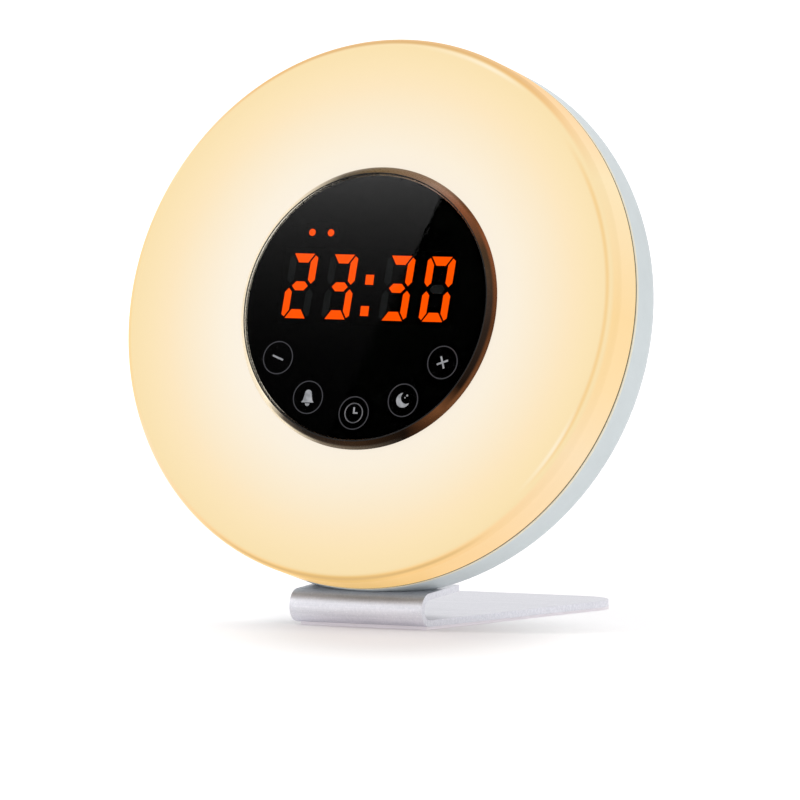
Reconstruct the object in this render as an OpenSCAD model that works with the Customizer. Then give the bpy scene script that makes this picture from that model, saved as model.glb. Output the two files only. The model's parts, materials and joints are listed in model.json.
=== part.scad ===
// Sunrise alarm clock: a round light head with a touch display at its centre,
// leaning back on a foot folded from aluminium sheet.
// Millimetres. +Z is up, the display faces -Y, and the origin is the centre of
// the face that rests on the table.
//
// The pieces of the head are drawn in the head's own frame: its z axis is the
// axis of the disc, pointing out of the display, and z = 0 is the seam between
// the light diffuser and the rear housing.

/* [Head] */
// Diameter of the head
head_diameter = 170; // [166:1:174]
// Lean of the head, back from upright, in degrees
head_tilt = 14; // [13:0.5:15]
// Depth of the diffuser, from the seam to its face
front_depth = 12.8; // [12.4:0.1:14]
// Depth of the rear housing, from the seam to its back
rear_depth = 24; // [23.8:0.1:25]
// Wall of the diffuser and of the housing
wall = 2.2; // [1.8:0.1:2.4]
// Open groove between the diffuser and the housing
seam_gap = 0.5; // [0.3:0.1:0.6]
// Rounding where the diffuser's side meets its face
face_edge = 2.8; // [2:0.1:3.2]

/* [Touch panel] */
// Diameter of the bezel around the glass
panel_diameter = 87.8; // [86:0.2:90]
// Height of the glass above the diffuser
panel_height = 2.6; // [2.2:0.1:3]
// Thickness of the glass
glass_thickness = 1.2; // [1:0.1:1.3]
// Radius of the ring printed around each touch key
touch_ring = 5.2; // [4.8:0.1:5.4]
// Distance from a touch key's ring to the bezel's outer edge
touch_margin = 5.7; // [5:0.1:6]

/* [Display] */
// Time shown, as hours and minutes
shown_time = 2330; // [0:1:2359]
// Height of a digit
digit_height = 20.3; // [18:0.1:21]
// Width of a digit
digit_width = 9.6; // [9:0.1:10.5]
// Height of a digit's level strokes
digit_stroke = 2.8; // [2:0.1:2.9]
// Slant of the digits, in degrees
digit_slant = 3; // [0:0.5:4]

/* [Rear keys] */
// Diameter of a rear key
key_diameter = 9; // [8:0.5:9]
// Travel of a rear key
key_travel = 0.5; // [0.3:0.1:0.6]

/* [Foot] */
// Thickness of the aluminium sheet
sheet = 2; // [1.6:0.1:2.2]
// Width of the foot at its fold
fold_width = 46; // [44:1:47]
// Width of the foot at its back edge
back_width = 72; // [68:1:76]
// Length of the base plate, from the fold to its back edge
plate_length = 107; // [100:1:112]
// Outer radius of the fold
fold_radius = 5.1; // [5:0.1:5.3]
// Length of the flange that carries the head
flange_length = 20; // [18:0.5:21]
// Rise of the flange toward the back, in degrees
flange_slope = 4; // [3.5:0.5:4.5]
// Distance of the head's seam ahead of the fold's centre
seam_lead = 4.6; // [4.2:0.1:5]
// Height of the head's seam above the top of the fold
seam_rise = 1; // [0.8:0.1:1.4]
// Thickness of the anti-slip pad
pad_thickness = 1; // [0.8:0.1:1.2]

/* [Hidden] */
$fn = 120;
eps = 0.01;

// Foot
fold_y = -plate_length / 2;
fold_z = pad_thickness + fold_radius;
seat_wall = 2.6;                         // floor of the housing above the flange
seat_screw_x = [-12, 12];
seat_screw_y = 6.2;
seat_screw_head_r = 2.8;
pad_inset = 3;
back_corner = 15;

// Head: the lowest point of its seam stands over the foot's fold
head_r = head_diameter / 2;
head_y = fold_y - seam_lead + head_r * sin(head_tilt);
head_height = fold_z + fold_radius + seam_rise + head_r * cos(head_tilt);
front_z = front_depth;
front_inside_z = front_z - wall;
back_z = -rear_depth;
back_inside_z = back_z + wall;
fit_gap = 0.1;
tongue_r = head_r - wall - fit_gap;      // tongue of the diffuser, inside the housing
tongue_wall = 1.5;
chassis_z = [-3.5, -2];                  // reflector chassis, back and front face
chassis_r = tongue_r - fit_gap;

// Back of the housing: a rounded corner, a shallow cone and a flat middle
side_depth = 10.8;
corner_r = 6.2;
cone_slope = 20;
blend_r = 24;
corner_end = [head_r - corner_r + corner_r * sin(cone_slope), -side_depth - corner_r * cos(cone_slope)];
blend_rise = blend_r * (1 - cos(cone_slope));
flat_r = corner_end[0] - blend_r * sin(cone_slope) - (corner_end[1] - back_z - blend_rise) / tan(cone_slope);

// Touch panel
panel_r = panel_diameter / 2;
panel_z = front_z + panel_height;
glass_z = [panel_z - glass_thickness, panel_z];
glass_r = panel_r - 1.75;
print_thickness = 0.1;
film_thickness = 0.2;
film_z = [glass_z[0] - print_thickness - film_thickness, glass_z[0] - print_thickness];
film_r = glass_r - 0.8;
hole_r = panel_r - 3.5;                  // hole in the diffuser
barrel_r = hole_r - 0.2;
barrel_wall = 1.4;
board_z = [4.8, 6.4];                    // display board, back and front face
boss_r = 2.4;
boss_circle = barrel_r - 5.5;
boss_angles = [90, -45, -135];
boss_top_z = film_z[0] - 1;
touch_circle = panel_r - touch_margin - touch_ring;
touch_angles = [-150, -120, -90, -60, -30];

// Display: four digits, a colon and two status lamps
digit_y = 6.15;
digit_spacing = 4.35;                    // between the digits of a pair
colon_room = 10.3;                       // between the two pairs
inner_digit_x = (colon_room + digit_width) / 2;
outer_digit_x = inner_digit_x + digit_width + digit_spacing;
digit_x = [-outer_digit_x, -inner_digit_x, inner_digit_x, outer_digit_x];
upright_stroke = 0.83 * digit_stroke;
segment_gap = 0.62;
segment_depth = 0.5;
colon_size = [2.8, 3.1];
colon_y = [8.6, -1.2];
status_r = 1.1;
status_x = [-21.7, -15.2];
status_y = 23;
module_margin = 1.6;
module_box = [2 * outer_digit_x + digit_width, digit_height] + 2 * [module_margin, module_margin];
status_box = [status_x[1] - status_x[0] + 5.5, 6.4];
SEGMENTS = ["abcdef", "bc", "abged", "abgcd", "fgbc", "afgcd", "afgedc", "abc", "abcdefg", "abcdfg"];
shown_digits = [for (place = [1000, 100, 10, 1]) floor(shown_time / place) % 10];

// Light: a ring board on the front of the reflector chassis
led_board_r = [hole_r + 5.8, chassis_r - 6.6];
led_board_z = [chassis_z[1], chassis_z[1] + 1.2];
warm_circle = led_board_r[1] - 9;
colour_circle = led_board_r[0] + 7;
pin_circle = led_board_r[1] - 3;
diagonals = [45, 135, 225, 315];

// Speaker
speaker_r = 25.5;
speaker_rim = 1.4;
speaker_lip = 3.1;                       // rim around the cone's surround
surround_roll = 1.3;                     // radius of the surround's half round roll
magnet_r = 14.5;
magnet_z = [back_z + 11, back_z + 17.5];
coil_gap = [6.2, 7.4];
clamp_circle = speaker_r + 3;
clamp_angles = [90, 210, 330];

// Main board, around the speaker
main_board_r = [speaker_r + 2.5, chassis_r - 12.6];
main_board_z = [back_z + 10.5, back_z + 12.1];
board_post_circle = main_board_r[1] - 6;
parts_circle = main_board_r[1] - 22;
ribbon_place = [0, -main_board_r[0] - 3];
header_place = [10 - main_board_r[1], 0];

// Screws that hold the head together, in pockets of the housing's back
post_circle = flat_r - 4.4;
post_places = [for (a = [30, 150, 210, 330]) post_circle * [cos(a), sin(a)]];
post_r = 3.4;
pocket_floor_z = [back_z + 4.8, back_z + 6.6];
post_screw_end = pocket_floor_z[1] + 8.4;
board_screw_end = main_board_z[1] + 5.9;
screw_tip_room = 0.5;

// Rear keys, each over its own switch
port_circle = flat_r - 6.4;
key_angles = [120, 100, 80, 60];
key_r = key_diameter / 2;
key_proud = 0.8;
key_flange = 1.1;
switch_size = [6, 6, 3.5];
switch_face_z = main_board_z[0] - switch_size[2];
plunger_tip_z = switch_face_z - 1.1;
plunger_r = 1.7;
running_gap = 0.08;

// Sockets and battery
cell = [10, 2.5];                        // radius and thickness of the coin cell
cap_r = cell[0] + 3;
cap_plate = 1.9;
hub_r = cap_r - 1.4;
lug_r = cap_r - 0.3;
lug_half_angle = 18;
cup_wall = 1.8;
cup_circle = speaker_r + cap_r + cup_wall + 1.6;
cup_place = cup_circle * [cos(235), sin(235)];
ledge_z = [back_z + 2, back_z + 3.4];    // bayonet ledge of the battery cup
cup_floor_z = [back_z + 7.4, back_z + 9];
jack_place = [0, -port_circle];
jack_r = 4;
bush_place = port_circle * [cos(-66), sin(-66)];

// ---- Helpers ----

module at_head() {
  translate([0, head_y, head_height]) rotate([90 - head_tilt, 0, 0]) children();
}

// The flange's frame: x across, y back along the flange, z out of its top face
module at_flange() {
  translate([0, fold_y, fold_z]) rotate([flange_slope, 0, 0]) children();
}

module polar(radius, angle) {
  translate([radius * cos(angle), radius * sin(angle), 0]) children();
}

module disc(radius, low, high) {
  translate([0, 0, low]) cylinder(r = radius, h = high - low);
}

module tube(outer, inner, low, high) {
  difference() {
    disc(outer, low, high);
    disc(inner, low - 1, high + 1);
  }
}

module block(size, low, high) {
  translate([-size[0] / 2, -size[1] / 2, low]) cube([size[0], size[1], high - low]);
}

module revolved(outline) {
  rotate_extrude() polygon(outline);
}

function arc(centre, radius, start, end, steps = 8) =
  [for (i = [0:steps]) let (a = start + (end - start) * i / steps)
    [centre[0] + radius * cos(a), centre[1] + radius * sin(a)]];

// ---- Shells ----

module front_diffuser() {
  inner_edge = 0.8;
  bead = 0.4;
  wall_r = head_r - wall;
  tongue_end = chassis_z[1];
  color([0.99, 0.87, 0.66]) at_head() revolved(concat(
    [[head_r, seam_gap / 2]],
    arc([head_r - face_edge, front_z - face_edge], face_edge, 0, 90, 10),
    [[hole_r, front_z], [hole_r, front_inside_z]],
    arc([wall_r - inner_edge, front_inside_z - inner_edge], inner_edge, 90, 0, 3),
    [[wall_r, 3.2], [tongue_r - tongue_wall, 2.2], [tongue_r - tongue_wall, tongue_end],
     [tongue_r, tongue_end], [tongue_r, -1.8], [tongue_r + bead, -1.6],
     [tongue_r + bead, -1.4], [tongue_r, -1.2], [tongue_r, seam_gap / 2]]
  ));
}

function housing_outside() = concat(
  [[head_r - 0.5, -seam_gap / 2], [head_r, -seam_gap / 2 - 0.5]],
  arc([head_r - corner_r, -side_depth], corner_r, 0, cone_slope - 90, 8),
  arc([flat_r, back_z + blend_r], blend_r, cone_slope - 90, -90, 4),
  [[0, back_z]]
);

module housing_shell() {
  groove = 0.5;
  r = head_r - wall;
  ledge_r = r - 1.8;
  revolved(concat(
    housing_outside(),
    [[0, back_inside_z], [flat_r + 4, back_inside_z], [ledge_r - 0.8, -14.6], [ledge_r, -12.5],
     [ledge_r, chassis_z[0]], [r, chassis_z[0]], [r, -1.9], [r + groove, -1.7],
     [r + groove, -1.3], [r, -1.1], [r, -seam_gap / 2]]
  ));
}

// Floor of the housing over the flange, filled out to the housing's own outside
module seat_floor() {
  side = 1;
  intersection() {
    at_head() revolved(concat([[0, -seam_gap / 2]], housing_outside()));
    at_flange() translate([-fold_width / 2 - side, side, fold_radius - 1])
      cube([fold_width + 2 * side, flange_length - 2 * side, seat_wall + 1]);
  }
}

module housing_bosses() {
  for (p = post_places) translate(p) disc(post_r + 1.6, back_inside_z - eps, pocket_floor_z[1]);
  for (a = clamp_angles) polar(clamp_circle, a) disc(2.5, back_inside_z - eps, back_inside_z + speaker_rim);
  translate(cup_place) disc(cap_r + cup_wall, back_inside_z - eps, cup_floor_z[1]);
}

module housing_holes() {
  for (p = post_places) translate(p) {
    disc(3.3, back_z - 1, pocket_floor_z[0]);
    disc(1.6, back_z, pocket_floor_z[1] + 1);
  }
  for (a = clamp_angles) polar(clamp_circle, a) disc(1, back_z + 1, back_inside_z + speaker_rim + 1);
  for (a = key_angles) polar(port_circle, a) disc(key_r + running_gap, back_z - 1, back_inside_z + 1);
  translate(jack_place) disc(jack_r + 0.2, back_z - 1, back_inside_z + 1);
  translate(bush_place) disc(2.45, back_z - 1, back_inside_z + 1);
  translate(cup_place) battery_chamber();
  speaker_grille();
}

module battery_chamber() {
  entry_angle = 60;
  disc(cap_r + running_gap, back_z - 1, ledge_z[0]);
  disc(hub_r + running_gap, back_z, ledge_z[1] + eps);
  disc(lug_r + 0.2, ledge_z[1], ledge_z[1] + 1.3);
  disc(cell[0] + 0.3, back_z, cup_floor_z[0]);
  for (side = [0, 180]) rotate(side + entry_angle) lug(lug_r + 0.1, lug_half_angle + 2, back_z, ledge_z[1] + 1);
}

// A bayonet lug: a sector that reaches from inside the hub out to its radius
module lug(radius, half_angle, low, high) {
  intersection() {
    disc(radius, low, high);
    linear_extrude(height = 100, center = true)
      polygon([[0, 0], [30, -30 * tan(half_angle)], [30, 30 * tan(half_angle)]]);
  }
}

module speaker_grille() {
  pitch = 4.2;
  for (ring = [0:4], i = [0:max(0, 6 * ring - 1)])
    polar(ring * pitch, ring == 0 ? 0 : i * 60 / ring) disc(0.9, back_z - 1, back_inside_z + 1);
}

module rear_housing() {
  color([0.86, 0.88, 0.89]) difference() {
    union() {
      at_head() housing_shell();
      seat_floor();
      at_head() housing_bosses();
    }
    at_head() housing_holes();
    at_flange() translate([-30, -3, -10]) cube([60, 40, fold_radius + 10]);
    at_flange() for (x = seat_screw_x) translate([x, seat_screw_y, fold_radius]) {
      disc(1.6, -1, seat_wall + 1);
      disc(seat_screw_head_r + 0.3, seat_wall, seat_wall + 5);
    }
  }
}

// ---- Light ----

module reflector_chassis() {
  collar = [hole_r + 1.8, hole_r - 2.2];
  color([0.95, 0.95, 0.94]) at_head() difference() {
    union() {
      disc(chassis_r, chassis_z[0], chassis_z[1]);
      tube(collar[0], collar[1], chassis_z[0], board_z[0]);
      for (p = post_places) translate(p) disc(post_r, pocket_floor_z[1], chassis_z[0] + eps);
      for (a = diagonals) {
        polar(board_post_circle, a) disc(2.8, main_board_z[1], chassis_z[0] + eps);
        polar(pin_circle, a) disc(1.5, chassis_z[1] - eps, led_board_z[1] + 0.3);
        polar(pin_circle, a) disc(2.2, led_board_z[1], led_board_z[1] + 0.6);
      }
    }
    for (p = post_places) translate(p) disc(1.5, pocket_floor_z[1] - 1, post_screw_end + screw_tip_room);
    for (a = diagonals) polar(board_post_circle, a)
      disc(1, main_board_z[1] - 1, board_screw_end + screw_tip_room);
    translate(ribbon_place) block([16, 6], chassis_z[0] - 1, chassis_z[1] + 1);
    translate(header_place) block([12, 7], chassis_z[0] - 1, chassis_z[1] + 1);
  }
}

module led_ring_board() {
  color([0.93, 0.93, 0.9]) at_head() difference() {
    tube(led_board_r[1], led_board_r[0], led_board_z[0], led_board_z[1]);
    for (a = diagonals) polar(pin_circle, a) disc(1.5, led_board_z[0] - 1, led_board_z[1] + 1);
  }
}

module led_circle(count, radius, size) {
  for (i = [0:count - 1]) rotate(360 / count * (i + 0.5)) translate([radius, 0, 0])
    block(size, led_board_z[1], led_board_z[1] + size[2]);
}

module warm_leds() {
  color([1, 0.93, 0.72]) at_head() led_circle(24, warm_circle, [3.5, 2.8, 1.9]);
}

module colour_leds() {
  color([0.97, 0.97, 0.95]) at_head() led_circle(8, colour_circle, [5, 5, 1.6]);
}

module led_header() {
  color([0.12, 0.12, 0.13]) at_head() translate(header_place)
    block([10, 5], main_board_z[1], led_board_z[0]);
}

// ---- Touch panel ----

module bezel_ring() {
  land = 0.3;
  slope = [10, 52];
  crown = (panel_height - land) / (sin(slope[1]) - sin(slope[0]));
  crown_centre = [panel_r - crown * cos(slope[0]), front_z + land - crown * sin(slope[0])];
  inner_r = barrel_r - barrel_wall;
  color([0.36, 0.22, 0.13]) at_head() difference() {
    union() {
      revolved(concat(
        [[barrel_r, front_z], [panel_r, front_z]],
        arc(crown_centre, crown, slope[0], slope[1], 8),
        [[glass_r + 0.05, panel_z], [glass_r + 0.05, glass_z[0]], [film_r + 0.1, glass_z[0]],
         [film_r + 0.1, film_z[0]], [inner_r, film_z[0]], [inner_r, board_z[1]], [barrel_r, board_z[1]]]
      ));
      for (a = boss_angles) rotate(a) {
        translate([boss_circle, 0, 0]) disc(boss_r, board_z[1], boss_top_z);
        translate([boss_circle, -boss_r / 2, board_z[1]])
          cube([inner_r + 0.5 - boss_circle, boss_r, boss_top_z - board_z[1]]);
      }
    }
    for (a = boss_angles) polar(boss_circle, a) disc(1, board_z[1] - 1, boss_top_z - 1.4);
  }
}

module front_glass() {
  edge = 0.25;
  color([0.02, 0.02, 0.02]) at_head() revolved([
    [0, glass_z[0]], [glass_r, glass_z[0]], [glass_r, glass_z[1] - edge],
    [glass_r - edge, glass_z[1]], [0, glass_z[1]]
  ]);
}

module display_window(clearance, low, high) {
  translate([0, digit_y, 0]) block(module_box + [clearance, clearance] * 2, low, high);
  translate([(status_x[0] + status_x[1]) / 2, status_y, 0])
    block(status_box + [clearance, clearance] * 2, low, high);
}

module mask_film() {
  color([0.03, 0.03, 0.03]) at_head() difference() {
    disc(film_r, film_z[0], film_z[1]);
    display_window(0.05, film_z[0] - 1, film_z[1] + 1);
  }
}

module legend_print() {
  color([0.55, 0.55, 0.56]) at_head() translate([0, 0, film_z[1]])
    linear_extrude(height = print_thickness) for (i = [0:4]) polar(touch_circle, touch_angles[i]) {
      printed_ring(touch_ring);
      if (i == 0) rotate(-20) square([3.9, 0.55], center = true);
      if (i == 1) bell_icon();
      if (i == 2) clock_icon();
      if (i == 3) moon_icon();
      if (i == 4) rotate(20) plus_icon();
    }
}

module printed_ring(radius) {
  difference() {
    circle(r = radius);
    circle(r = radius - 0.3);
  }
}

module plus_icon() {
  square([3.9, 0.55], center = true);
  square([0.55, 3.9], center = true);
}

module bell_icon() {
  translate([0, 1.2]) circle(r = 1.15);
  polygon([[-1.15, 1.2], [1.15, 1.2], [1.6, -0.9], [2.15, -1.6], [-2.15, -1.6], [-1.6, -0.9]]);
  translate([0, -1.95]) difference() {
    circle(r = 0.75);
    translate([-1, 0.05]) square([2, 2]);
  }
}

module clock_icon() {
  printed_ring(3.15);
  translate([-0.25, -0.25]) square([0.5, 2]);
  translate([-0.25, -0.25]) square([1.6, 0.5]);
}

// A waning moon with two small stars
module moon_icon() {
  difference() {
    circle(r = 2.3);
    translate([1.15, 0.85]) circle(r = 1.95);
  }
  translate([1.3, 1.5]) circle(r = 0.3);
  translate([0.6, 0.8]) circle(r = 0.22);
}

// ---- Digits ----

digit_side = digit_width / 2;
digit_top = digit_height / 2;
mitre_start = 0.95;                      // from the digit's side to the cut between two strokes
mitre_run = upright_stroke - 0.45;       // how far that cut runs inward
half_gap = segment_gap / 2 * norm([mitre_run, digit_stroke]) / digit_stroke;

// The top stroke
function level_outline() =
  let(outer = digit_side - mitre_start - half_gap, inner = outer - mitre_run, low = digit_top - digit_stroke)
  [[-outer, digit_top], [-inner, low], [inner, low], [outer, digit_top]];

// The upper right stroke
function upright_outline() =
  let(
    inner = digit_side - upright_stroke,
    tip = 0.5,
    tip_x = digit_side - mitre_start + half_gap - tip * mitre_run / digit_stroke,
    inner_top = digit_top - (upright_stroke - mitre_start + half_gap) * digit_stroke / mitre_run,
    shoulder = digit_stroke / 2 + segment_gap
  )
  [[tip_x, digit_top - tip], [inner, inner_top], [inner, shoulder - 0.1],
   [digit_side - upright_stroke / 2, 1.2 * segment_gap], [digit_side, shoulder], [digit_side, digit_top - tip - 0.7]];

function middle_outline() =
  let(tip = digit_side - 0.88 * upright_stroke, flat = tip - 1.3, high = digit_stroke / 2)
  [[tip, 0], [flat, high], [-flat, high], [-tip, 0], [-flat, -high], [flat, -high]];

function outline_of(name) =
  name == "g" ? middle_outline() : name == "a" || name == "d" ? level_outline() : upright_outline();

// Sides of the digit that a stroke is on: 1 for the right or the top, -1 for the left or the bottom
function sides_of(name) =
  name == "c" || name == "d" ? [1, -1] : name == "e" ? [-1, -1] : name == "f" ? [-1, 1] : [1, 1];

function slanted(x, y) = [x + y * tan(digit_slant), y];

module stroke(name) {
  sides = sides_of(name);
  polygon([for (p = outline_of(name)) slanted(sides[0] * p[0], sides[1] * p[1])]);
}

// The strokes of the shown time that are lit, or those that are dark
module strokes(lit) {
  for (i = [0:3], name = ["a", "b", "c", "d", "e", "f", "g"])
    if ((len(search(name, SEGMENTS[shown_digits[i]])) > 0) == lit) translate([digit_x[i], digit_y]) stroke(name);
}

module lamps() {
  for (y = colon_y) translate(slanted(0, y - digit_y) + [0, digit_y]) square(colon_size, center = true);
  for (x = status_x) translate([x, status_y]) circle(r = status_r);
}

module lit_segments() {
  color([1, 0.32, 0]) at_head() translate([0, 0, film_z[1] - segment_depth])
    linear_extrude(height = segment_depth + 0.05) {
      strokes(true);
      lamps();
    }
}

module dark_segments() {
  color([0.1, 0.1, 0.1]) at_head() translate([0, 0, film_z[1] - segment_depth])
    linear_extrude(height = segment_depth + 0.05) strokes(false);
}

module display_module() {
  color([0.04, 0.04, 0.04]) at_head() difference() {
    display_window(0, board_z[1], film_z[1]);
    translate([0, 0, film_z[1] - segment_depth]) linear_extrude(height = 1) {
      strokes(true);
      strokes(false);
      lamps();
    }
  }
}

module display_board() {
  color([0.1, 0.32, 0.18]) at_head() difference() {
    disc(barrel_r, board_z[0], board_z[1]);
    for (a = boss_angles) polar(boss_circle, a) disc(1.1, board_z[0] - 1, board_z[1] + 1);
  }
}

module display_screws() {
  color([0.7, 0.7, 0.72]) at_head() for (a = boss_angles) polar(boss_circle, a) {
    disc(1.9, board_z[0] - 1.3, board_z[0]);
    disc(0.95, board_z[0] - eps, boss_top_z - 1.4 - screw_tip_room);
  }
}

module touch_pillars() {
  color([0.2, 0.2, 0.21]) at_head() for (a = touch_angles) polar(touch_circle, a)
    disc(touch_ring - 0.6, board_z[1], film_z[0]);
}

module touch_chip() {
  color([0.08, 0.08, 0.09]) at_head() translate([0, 5, 0]) block([9, 9], board_z[0] - 1.2, board_z[0]);
}

// Pressed on the bezel's barrel from behind, it clamps the bezel to the diffuser
module retainer_ring() {
  color([0.9, 0.9, 0.88]) at_head() tube(hole_r + 4.3, barrel_r, front_inside_z - 1.5, front_inside_z);
}

module display_ribbon() {
  color([0.85, 0.85, 0.8]) at_head() translate(ribbon_place) block([12, 0.8], main_board_z[1], board_z[0]);
}

module ribbon_sockets() {
  color([0.93, 0.9, 0.8]) at_head() translate(ribbon_place) difference() {
    union() {
      block([14, 4], board_z[0] - 2.4, board_z[0]);
      block([14, 4], main_board_z[1], main_board_z[1] + 2.4);
    }
    block([12, 0.8], main_board_z[1] - 1, board_z[0] + 1);
  }
}

// ---- Main board ----

module main_board() {
  color([0.1, 0.32, 0.18]) at_head() difference() {
    tube(main_board_r[1], main_board_r[0], main_board_z[0], main_board_z[1]);
    for (p = post_places) translate(p) disc(post_r + 0.5, main_board_z[0] - 1, main_board_z[1] + 1);
    for (a = diagonals) polar(board_post_circle, a) disc(1.1, main_board_z[0] - 1, main_board_z[1] + 1);
  }
}

module board_screws() {
  color([0.7, 0.7, 0.72]) at_head() for (a = diagonals) polar(board_post_circle, a) {
    disc(2.2, main_board_z[0] - 1.5, main_board_z[0]);
    disc(0.95, main_board_z[0] - eps, board_screw_end);
  }
}

module main_chips() {
  color([0.08, 0.08, 0.09]) at_head() {
    polar(parts_circle, 8) block([12, 12], main_board_z[1], main_board_z[1] + 1.4);
    polar(parts_circle - 5, 170) block([8, 8], main_board_z[1], main_board_z[1] + 1.4);
  }
}

module tuner_can() {
  color([0.75, 0.75, 0.76]) at_head() polar(parts_circle, 105)
    block([16, 12], main_board_z[1], main_board_z[1] + 3);
}

module capacitors() {
  color([0.2, 0.22, 0.45]) at_head() for (a = [-20, -65, -112]) polar(parts_circle, a)
    disc(4, main_board_z[1], chassis_z[0] - 1.4);
}

module tact_switches() {
  color([0.15, 0.15, 0.16]) at_head() for (a = key_angles) polar(port_circle, a) difference() {
    block(switch_size, switch_face_z, main_board_z[0]);
    disc(plunger_r + running_gap, switch_face_z - 1, switch_face_z + 1.2);
  }
}

module rear_key(place) {
  color([0.9, 0.91, 0.92]) at_head() polar(port_circle, key_angles[place]) revolved(concat(
    [[0, back_z - key_proud + 0.25], [key_r - 1, back_z - key_proud]],
    arc([key_r - 0.6, back_z - key_proud + 0.6], 0.6, -90, 0, 4),
    [[key_r, back_inside_z], [key_r + 1.1, back_inside_z], [key_r + 1.1, back_inside_z + key_flange],
     [2, back_inside_z + key_flange], [2, plunger_tip_z], [0, plunger_tip_z]]
  ));
}

module key_plunger(place) {
  color([0.1, 0.1, 0.1]) at_head() polar(port_circle, key_angles[place])
    disc(plunger_r, plunger_tip_z, switch_face_z + 1.15 - key_travel);
}

module light_key() { rear_key(0); }
module colour_key() { rear_key(1); }
module music_key() { rear_key(2); }
module radio_key() { rear_key(3); }
module light_plunger() { key_plunger(0); }
module colour_plunger() { key_plunger(1); }
module music_plunger() { key_plunger(2); }
module radio_plunger() { key_plunger(3); }

// ---- Speaker ----

module speaker_frame() {
  z = back_inside_z;
  lip_r = speaker_r - speaker_lip;
  color([0.16, 0.16, 0.17]) at_head() difference() {
    revolved([
      [speaker_r, z], [speaker_r, z + speaker_rim], [speaker_r - 2, z + speaker_rim],
      [magnet_r + 0.1, magnet_z[0]], [coil_gap[1], magnet_z[0]], [coil_gap[1], magnet_z[0] - 1],
      [magnet_r - 0.5, magnet_z[0] - 1], [lip_r, z + speaker_rim - 0.4], [lip_r, z]
    ]);
    for (a = [45:90:315]) rotate(a) translate([magnet_r, -4, z + 2.4]) cube([8, 8, magnet_z[0] - z - 4.2]);
  }
}

module speaker_magnet() {
  gap_end = magnet_z[0] + 4;
  color([0.3, 0.3, 0.32]) at_head() revolved([
    [0, magnet_z[0]], [coil_gap[0], magnet_z[0]], [coil_gap[0], gap_end], [coil_gap[1], gap_end],
    [coil_gap[1], magnet_z[0]], [magnet_r, magnet_z[0]], [magnet_r, magnet_z[1]], [0, magnet_z[1]]
  ]);
}

module speaker_surround() {
  z = back_inside_z + 0.2;
  middle = speaker_r - speaker_lip - surround_roll;
  color([0.08, 0.08, 0.08]) at_head() revolved(concat(
    arc([middle, z], surround_roll, 0, 180, 8),
    arc([middle, z], surround_roll - 0.3, 180, 0, 8)
  ));
}

module speaker_cone() {
  z = back_inside_z + 0.2;
  edge = speaker_r - speaker_lip - 2 * surround_roll;
  coil = coil_gap[1] - 0.4;
  color([0.25, 0.25, 0.26]) at_head() revolved([
    [0, back_z + 5.4], [4, back_z + 5.8], [coil, back_z + 7.1], [edge, z], [edge, z + 0.6],
    [coil, back_z + 7.8], [coil, magnet_z[0] + 2], [coil - 0.4, magnet_z[0] + 2],
    [coil - 0.4, back_z + 7.4], [4, back_z + 6.4], [0, back_z + 6]
  ]);
}

module speaker_clamps() {
  z = back_inside_z + speaker_rim;
  color([0.7, 0.7, 0.72]) at_head() for (a = clamp_angles) polar(clamp_circle, a) {
    disc(3.6, z, z + 0.8);
    disc(2, z, z + 2);
    disc(0.95, z - 2.4, z + eps);
  }
}

// ---- Sockets and battery ----

module power_jack() {
  nose_z = back_z + 0.4;
  base_z = main_board_z[0] - 8;
  color([0.07, 0.07, 0.07]) at_head() translate(jack_place) {
    difference() {
      union() {
        block([9, 9], base_z, main_board_z[0]);
        disc(jack_r, nose_z, base_z + eps);
      }
      disc(2.85, nose_z - 1, main_board_z[0] - 1.1);
    }
    disc(1, nose_z + 1, main_board_z[0] - 1);
  }
}

// Soft bush where the radio's wire aerial leaves the housing
module antenna_bush() {
  color([0.2, 0.2, 0.2]) at_head() translate(bush_place) revolved([
    [0.8, back_z - 0.6], [3, back_z - 0.6], [3.6, back_z], [2.45, back_z], [2.45, back_inside_z],
    [3.4, back_inside_z], [3, back_inside_z + 0.8], [0.8, back_inside_z + 0.8]
  ]);
}

module coin_cell() {
  color([0.78, 0.78, 0.8]) at_head() translate(cup_place) disc(cell[0], cup_floor_z[0] - 0.3 - cell[1], cup_floor_z[0] - 0.3);
}

module cell_contact() {
  color([0.8, 0.72, 0.4]) at_head() translate(cup_place) disc(6, cup_floor_z[0] - 0.3, cup_floor_z[0]);
}

module battery_cap() {
  plate_z = back_z + cap_plate;
  hub_z = cup_floor_z[0] - 0.4 - cell[1];
  color([0.86, 0.88, 0.89]) at_head() translate(cup_place) difference() {
    union() {
      disc(cap_r, back_z, plate_z);
      disc(hub_r, plate_z - eps, hub_z);
      for (side = [0, 180]) rotate(side) lug(lug_r, lug_half_angle, ledge_z[1] + 0.1, hub_z);
    }
    disc(hub_r - 3, plate_z, hub_z + 1);
    block([cap_r + 2, 1.8], back_z - 1, back_z + 1.1);
    for (x = [-cell[0], cell[0]]) translate([x, 0, 0]) disc(0.6, back_z - 1, back_z + 0.4);
  }
}

module housing_screws() {
  head_z = pocket_floor_z[0];
  color([0.7, 0.7, 0.72]) at_head() for (p = post_places) translate(p) difference() {
    union() {
      disc(2.9, head_z - 2, head_z);
      disc(1.45, head_z - eps, post_screw_end);
    }
    block([3.4, 0.7], head_z - 3, head_z - 1);
    block([0.7, 3.4], head_z - 3, head_z - 1);
  }
}

// ---- Foot ----

// Half width of the base plate at a distance back from the fold
function plate_half_width(y) = (fold_width + (back_width - fold_width) * y / plate_length) / 2;

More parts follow.
